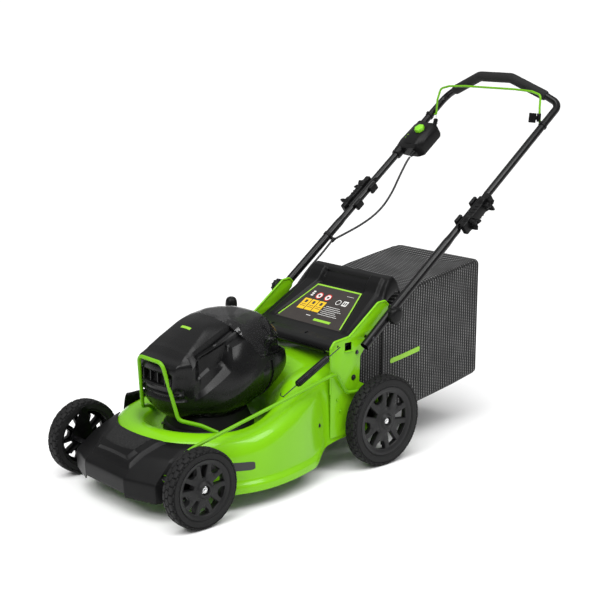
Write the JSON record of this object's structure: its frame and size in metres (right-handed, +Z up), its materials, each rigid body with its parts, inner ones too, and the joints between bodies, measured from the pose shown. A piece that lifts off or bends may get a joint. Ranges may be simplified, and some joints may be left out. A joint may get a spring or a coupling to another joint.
{
  "type": "push lawn mower",
  "caption": "Walk-behind battery lawn mower: lime steel deck on crank-adjusted wheels, black motor hood, rear door and grass bag, folding tube handle with bail bar.",
  "frame": {"origin": "on the ground on the centre plane, under the rear axle line, which lies within a centimetre of the middle of the overall length", "axes": "+Y towards the operator, +X to the operator's left as seen from in front, +Z up; the mower drives towards -Y"},
  "size_m": [0.5682, 1.4971, 1.0342],
  "materials": {
    "lime_paint": "gloss powder coat",
    "black_paint": "semi-gloss powder coat",
    "black_plastic": "fine texture",
    "smoked_plastic": "smoked, see-through",
    "aluminium": "as cast",
    "steel": "zinc plated",
    "chrome": "polished",
    "tyre_rubber": "matt",
    "cable_rubber": "matt",
    "foam": "soft foam",
    "bag_cloth": "open weave",
    "lime_plastic": "printed"
  },
  "bodies": {
    "chassis": {"deck_shell": "lime_paint", "nose_cover": "black_plastic", "bracket_left": "lime_paint", "bracket_right": "lime_paint", "motor_base": "black_plastic", "motor": "aluminium", "motor_hood": "black_plastic", "battery": "black_plastic", "front_guard": "lime_paint", "height_quadrant": "steel", "door_rod": "steel", "pivot_bolt_left": "steel", "pivot_bolt_right": "steel", "assist_spring": "black_paint", "cable_lower": "cable_rubber"},
    "battery_lid": {"battery_lid": "smoked_plastic"},
    "blade_set": {"motor_shaft": "steel", "blade_adapter": "aluminium", "blade": "steel", "blade_bolt": "steel"},
    "front_axle": {"front_axle": "steel", "hub_nut_front_left": "chrome", "hub_nut_front_right": "chrome"},
    "rear_axle": {"rear_axle": "steel", "hub_nut_rear_left": "chrome", "hub_nut_rear_right": "chrome", "height_lever": "steel", "lever_knob": "black_plastic"},
    "link_rod": {"link_rod": "lime_paint"},
    "lower_handle": {"lower_tube_left": "black_paint", "lower_tube_right": "black_paint", "cable_clip": "black_plastic"},
    "upper_handle": {"upper_tube": "black_paint", "foam_grip": "foam", "clamp_left": "black_plastic", "clamp_right": "black_plastic", "control_box": "black_plastic", "cable_upper": "cable_rubber"},
    "lock_knob_left": {"lock_knob_left": "black_plastic"},
    "lock_knob_right": {"lock_knob_right": "black_plastic"},
    "bail": {"bail": "lime_paint", "bail_paddle": "black_plastic"},
    "start_button": {"start_button": "lime_plastic"},
    "rear_door": {"rear_door": "black_plastic", "door_label": "lime_plastic"},
    "grass_bag": {"grass_bag": "bag_cloth", "bag_frame": "black_paint"},
    "discharge_flap": {"discharge_flap": "black_plastic"},
    "wheel_front_left": {"tyre_front_left": "tyre_rubber", "rim_front_left": "black_plastic"},
    "wheel_front_right": {"tyre_front_right": "tyre_rubber", "rim_front_right": "black_plastic"},
    "wheel_rear_left": {"tyre_rear_left": "tyre_rubber", "rim_rear_left": "black_plastic"},
    "wheel_rear_right": {"tyre_rear_right": "tyre_rubber", "rim_rear_right": "black_plastic"},
    "wing_knob_left_lower": {"wing_knob_left_lower": "black_plastic"},
    "wing_knob_left_upper": {"wing_knob_left_upper": "black_plastic"},
    "wing_knob_right_lower": {"wing_knob_right_lower": "black_plastic"},
    "wing_knob_right_upper": {"wing_knob_right_upper": "black_plastic"}
  },
  "joints": [
    {"name": "rear_height", "type": "hinge", "parent": "chassis", "child": "rear_axle", "pos_m": [0, -0.045, 0.139], "axis": [1, 0, 0], "range_deg": [-12, 28]},
    {"name": "front_height", "type": "hinge", "parent": "chassis", "child": "front_axle", "pos_m": [0, -0.6924, 0.1136], "axis": [1, 0, 0], "range_deg": [-12, 28]},
    {"name": "link_turn", "type": "hinge", "parent": "rear_axle", "child": "link_rod", "pos_m": [0.2215, -0.015, 0.211], "axis": [1, 0, 0], "range_deg": [-28, 12], "deforming": ["assist_spring"]},
    {"name": "spin_front_left", "type": "hinge", "parent": "front_axle", "child": "wheel_front_left", "pos_m": [0.2607, -0.6474, 0.1016], "axis": [1, 0, 0], "continuous": true},
    {"name": "spin_front_right", "type": "hinge", "parent": "front_axle", "child": "wheel_front_right", "pos_m": [-0.2607, -0.6474, 0.1016], "axis": [1, 0, 0], "continuous": true},
    {"name": "spin_rear_left", "type": "hinge", "parent": "rear_axle", "child": "wheel_rear_left", "pos_m": [0.234, 0, 0.127], "axis": [1, 0, 0], "continuous": true},
    {"name": "spin_rear_right", "type": "hinge", "parent": "rear_axle", "child": "wheel_rear_right", "pos_m": [-0.234, 0, 0.127], "axis": [1, 0, 0], "continuous": true},
    {"name": "blade_spin", "type": "hinge", "parent": "chassis", "child": "blade_set", "pos_m": [0, -0.42, 0.08], "axis": [0, 0, 1], "continuous": true},
    {"name": "lower_fold", "type": "hinge", "parent": "chassis", "child": "lower_handle", "pos_m": [0, -0.035, 0.3628], "axis": [1, 0, 0], "range_deg": [0, 140], "deforming": ["cable_lower"]},
    {"name": "upper_fold", "type": "hinge", "parent": "lower_handle", "child": "upper_handle", "pos_m": [0, 0.328, 0.6399], "axis": [1, 0, 0], "range_deg": [-45, 0], "deforming": ["cable_upper"]},
    {"name": "lock_turn_left", "type": "hinge", "parent": "lower_handle", "child": "lock_knob_left", "pos_m": [0.24, 0.034, 0.4175], "axis": [1, 0, 0], "range_deg": [-90, 90]},
    {"name": "wing_turn_left_lower", "type": "hinge", "parent": "upper_handle", "child": "wing_knob_left_lower", "pos_m": [0.26, 0.328, 0.6399], "axis": [1, 0, 0], "continuous": true},
    {"name": "wing_turn_left_upper", "type": "hinge", "parent": "upper_handle", "child": "wing_knob_left_upper", "pos_m": [0.26, 0.38802, 0.68504], "axis": [1, 0, 0], "continuous": true},
    {"name": "lock_turn_right", "type": "hinge", "parent": "lower_handle", "child": "lock_knob_right", "pos_m": [-0.24, 0.034, 0.4175], "axis": [1, 0, 0], "range_deg": [-90, 90]},
    {"name": "wing_turn_right_lower", "type": "hinge", "parent": "upper_handle", "child": "wing_knob_right_lower", "pos_m": [-0.26, 0.328, 0.6399], "axis": [1, 0, 0], "continuous": true},
    {"name": "wing_turn_right_upper", "type": "hinge", "parent": "upper_handle", "child": "wing_knob_right_upper", "pos_m": [-0.26, 0.38802, 0.68504], "axis": [1, 0, 0], "continuous": true},
    {"name": "bail_pull", "type": "hinge", "parent": "upper_handle", "child": "bail", "pos_m": [0, 0.669, 0.895], "axis": [1, 0, 0], "range_deg": [-13, 0], "stiffness_Nm_per_rad": 0.6, "springref_deg": 20.05},
    {"name": "start_press", "type": "slide", "parent": "upper_handle", "child": "start_button", "axis": [0, -0.601, 0.7992], "range_m": [-0.003, 0], "stiffness_N_per_m": 600, "springref_m": 0.001},
    {"name": "lid_open", "type": "hinge", "parent": "chassis", "child": "battery_lid", "pos_m": [0, -0.4285, 0.4565], "axis": [1, 0, 0], "range_deg": [0, 75]},
    {"name": "door_lift", "type": "hinge", "parent": "chassis", "child": "rear_door", "pos_m": [0, -0.136, 0.3335], "axis": [1, 0, 0], "range_deg": [0, 45], "stiffness_Nm_per_rad": 0.8, "springref_deg": -22.92},
    {"name": "bag_off", "type": "slide", "parent": "chassis", "child": "grass_bag", "axis": [0, 1, 0], "range_m": [0, 0.45]},
    {"name": "flap_lift", "type": "hinge", "parent": "chassis", "child": "discharge_flap", "pos_m": [-0.24, -0.43, 0.19], "axis": [0, 1, 0], "range_deg": [0, 50], "stiffness_Nm_per_rad": 0.3, "springref_deg": -28.65}
  ],
  "couplings": [
    {"joint": "front_height", "follows": "rear_height", "ratio": 1},
    {"joint": "link_turn", "follows": "rear_height", "ratio": -1}
  ]
}
